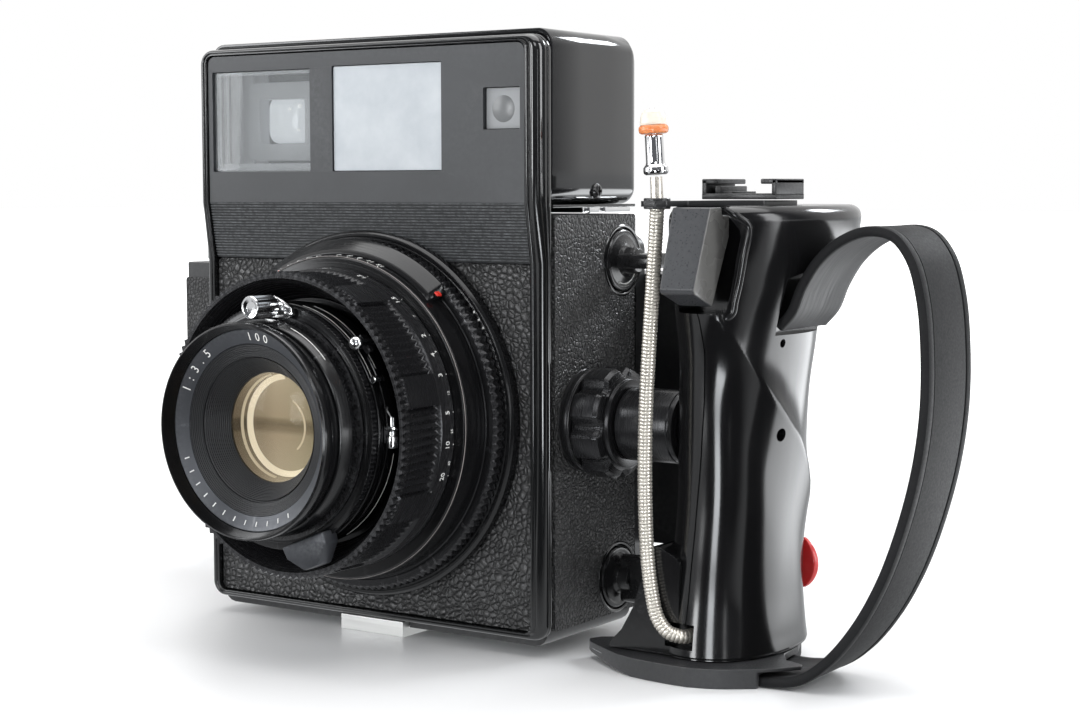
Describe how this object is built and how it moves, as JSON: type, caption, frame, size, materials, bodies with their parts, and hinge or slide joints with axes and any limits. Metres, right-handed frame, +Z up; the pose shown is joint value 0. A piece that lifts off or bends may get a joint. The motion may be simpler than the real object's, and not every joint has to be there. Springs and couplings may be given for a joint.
{
  "type": "press camera",
  "caption": "Press camera with leaf-shutter lens, rangefinder housing, sliding rollfilm back and side pistol grip with trigger, cable release and hand strap.",
  "frame": {"origin": "middle of the underside of the tripod plate, which is the plane the camera stands on", "axes": "+X towards the pistol grip, +Y away from the subject (the lens looks along -Y), +Z up"},
  "size_m": [0.2812, 0.1294, 0.165],
  "materials": {
    "black_enamel": "glossy black stove enamel",
    "cast_black": "die-cast light alloy under satin black enamel",
    "black_satin": "satin black anodised and enamelled metal",
    "faceplate": "satin dark grey plate with fine horizontal grooves at its foot",
    "leatherette": "coarse pebbled black leatherette",
    "alu_black": "black anodised aluminium with fine turning marks",
    "alu_bare": "brushed satin aluminium",
    "chrome": "bright chromium plate",
    "steel_rod": "ground steel",
    "window_glass": "flat clear glass",
    "frosted": "white frosted glass",
    "lens_glass": "coated optical glass with a warm reflection",
    "moulded_black": "polished black moulded plastic",
    "strap_rubber": "matt black moulded rubber with fine drag marks",
    "bellows_cloth": "black pleated bellows cloth",
    "spool_plastic": "matt black plastic",
    "orange_plastic": "translucent orange plastic",
    "red_plastic": "translucent red plastic",
    "sheath": "close-wound steel spiral"
  },
  "bodies": {
    "body": {"body_shell": "cast_black", "front_frame": "black_enamel", "finder_faceplate": "faceplate", "front_leatherette": "leatherette", "side_leatherette_right": "leatherette", "side_leatherette_left": "leatherette", "top_cover": "black_enamel", "eyepiece": "window_glass", "cover_screw": "black_satin", "lug_plate": "chrome", "viewfinder_window": "window_glass", "illumination_window": "frosted", "rangefinder_window": "window_glass", "finder_optics": "spool_plastic", "tripod_plate": "alu_bare", "bellows": "bellows_cloth", "lens_mount_flange": "alu_black", "lens_barrel": "alu_black", "grip_bracket": "black_satin", "grip_half_inner": "moulded_black", "grip_half_outer": "moulded_black", "grip_base": "moulded_black", "accessory_shoe": "black_satin", "cable_clip": "black_satin", "cable_sheath": "sheath", "cable_barrel": "chrome", "cable_tip_ring": "orange_plastic", "hand_strap": "strap_rubber"},
    "lens_lock": {"lens_lock_ring": "alu_black"},
    "focus": {"focus_ring": "alu_black"},
    "shutter": {"shutter_case": "alu_black", "front_cell": "alu_black", "name_ring": "alu_black", "front_element": "lens_glass", "iris_diaphragm": "alu_black", "cable_socket": "chrome"},
    "speed": {"speed_ring": "alu_black"},
    "aperture": {"aperture_ring": "alu_black"},
    "cocking": {"cocking_lever": "chrome"},
    "release": {"release_lever": "chrome"},
    "rear": {"rear_standard": "alu_black", "slide_rod_upper_right": "steel_rod", "slide_rod_lower_right": "steel_rod", "slide_rod_upper_left": "steel_rod", "slide_rod_lower_left": "steel_rod", "holder_shell": "alu_black"},
    "back_door": {"holder_door": "alu_black"},
    "door_latch": {"holder_latch": "chrome"},
    "darkslide": {"dark_slide": "alu_bare"},
    "takeup": {"takeup_spool": "spool_plastic"},
    "supply": {"supply_spool": "spool_plastic"},
    "advance": {"advance_lever": "black_satin"},
    "knob_upper_right": {"lock_knob_upper_right": "black_satin"},
    "knob_lower_right": {"lock_knob_lower_right": "black_satin"},
    "knob_upper_left": {"lock_knob_upper_left": "black_satin"},
    "knob_lower_left": {"lock_knob_lower_left": "black_satin"},
    "grip_knob": {"grip_lock_knob": "black_satin"},
    "trigger": {"grip_trigger": "moulded_black"},
    "plunger": {"cable_plunger": "chrome"},
    "rear_lever": {"grip_rear_lever": "red_plastic"}
  },
  "joints": [
    {"name": "lens_lock_turn", "type": "hinge", "parent": "body", "child": "lens_lock", "pos_m": [0, -0.024, 0.06175], "axis": [0, 1, 0], "range_deg": [0, 35]},
    {"name": "focus_turn", "type": "hinge", "parent": "body", "child": "focus", "pos_m": [0, -0.024, 0.06175], "axis": [0, 1, 0], "range_deg": [0, 200]},
    {"name": "focus_travel", "type": "slide", "parent": "body", "child": "shutter", "axis": [0, -1, 0], "range_m": [0, 0.0112]},
    {"name": "shutter_speed_turn", "type": "hinge", "parent": "shutter", "child": "speed", "pos_m": [0, -0.024, 0.06175], "axis": [0, 1, 0], "range_deg": [-110, 110]},
    {"name": "aperture_turn", "type": "hinge", "parent": "shutter", "child": "aperture", "pos_m": [0, -0.024, 0.06175], "axis": [0, 1, 0], "range_deg": [-35, 35]},
    {"name": "cocking_swing", "type": "hinge", "parent": "shutter", "child": "cocking", "pos_m": [0, -0.024, 0.06175], "axis": [0, 1, 0], "range_deg": [-45, 0], "stiffness_Nm_per_rad": 0.02},
    {"name": "shutter_release_press", "type": "hinge", "parent": "shutter", "child": "release", "pos_m": [0, -0.024, 0.06175], "axis": [0, 1, 0], "range_deg": [0, 8], "stiffness_Nm_per_rad": 0.02},
    {"name": "back_extension", "type": "slide", "parent": "body", "child": "rear", "axis": [0, 1, 0], "range_m": [0, 0.033], "deforming": ["bellows"]},
    {"name": "holder_door_swing", "type": "hinge", "parent": "rear", "child": "back_door", "pos_m": [-0.1222, 0.0526, 0.06175], "axis": [0, 0, 1], "range_deg": [0, 105]},
    {"name": "door_latch_slide", "type": "slide", "parent": "rear", "child": "door_latch", "axis": [0, 0, 1], "range_m": [0, 0.005]},
    {"name": "dark_slide_pull", "type": "slide", "parent": "rear", "child": "darkslide", "axis": [1, 0, 0], "range_m": [0, 0.118]},
    {"name": "takeup_spool_turn", "type": "hinge", "parent": "rear", "child": "takeup", "pos_m": [-0.104, 0.0449, 0.06175], "axis": [0, 0, 1], "continuous": true},
    {"name": "supply_spool_turn", "type": "hinge", "parent": "rear", "child": "supply", "pos_m": [0.0605, 0.0449, 0.06175], "axis": [0, 0, 1], "continuous": true},
    {"name": "film_advance_swing", "type": "hinge", "parent": "rear", "child": "advance", "pos_m": [-0.1045, 0.0435, 0.104], "axis": [0, 0, 1], "range_deg": [0, 150], "stiffness_Nm_per_rad": 0.01},
    {"name": "back_lock_upper_right", "type": "hinge", "parent": "body", "child": "knob_upper_right", "pos_m": [0.058, 0.0166, 0.1039], "axis": [1, 0, 0], "range_deg": [0, 90]},
    {"name": "back_lock_lower_right", "type": "hinge", "parent": "body", "child": "knob_lower_right", "pos_m": [0.058, 0.0142, 0.0165], "axis": [1, 0, 0], "range_deg": [0, 90]},
    {"name": "back_lock_upper_left", "type": "hinge", "parent": "body", "child": "knob_upper_left", "pos_m": [-0.058, 0.0166, 0.1039], "axis": [1, 0, 0], "range_deg": [-90, 0]},
    {"name": "back_lock_lower_left", "type": "hinge", "parent": "body", "child": "knob_lower_left", "pos_m": [-0.058, 0.0142, 0.0165], "axis": [1, 0, 0], "range_deg": [-90, 0]},
    {"name": "grip_knob_turn", "type": "hinge", "parent": "body", "child": "grip_knob", "pos_m": [0.066, -0.002, 0.0616], "axis": [1, 0, 0], "continuous": true},
    {"name": "trigger_pull", "type": "hinge", "parent": "body", "child": "trigger", "pos_m": [0.1016, -0.012, 0.1156], "axis": [1, 0, 0], "range_deg": [0, 13], "stiffness_Nm_per_rad": 0.15},
    {"name": "release_plunger_travel", "type": "slide", "parent": "body", "child": "plunger", "axis": [-0.0698, 0, 0.9976], "range_m": [0, 0.006]},
    {"name": "rear_lever_swing", "type": "hinge", "parent": "body", "child": "rear_lever", "pos_m": [0.106, 0.0292, 0.0235], "axis": [0, 0, 1], "range_deg": [0, 25]}
  ],
  "couplings": [
    {"joint": "focus_travel", "follows": "focus_turn", "m_per_rad": 0.00318},
    {"joint": "release_plunger_travel", "follows": "trigger_pull", "m_per_rad": 0.025563}
  ]
}
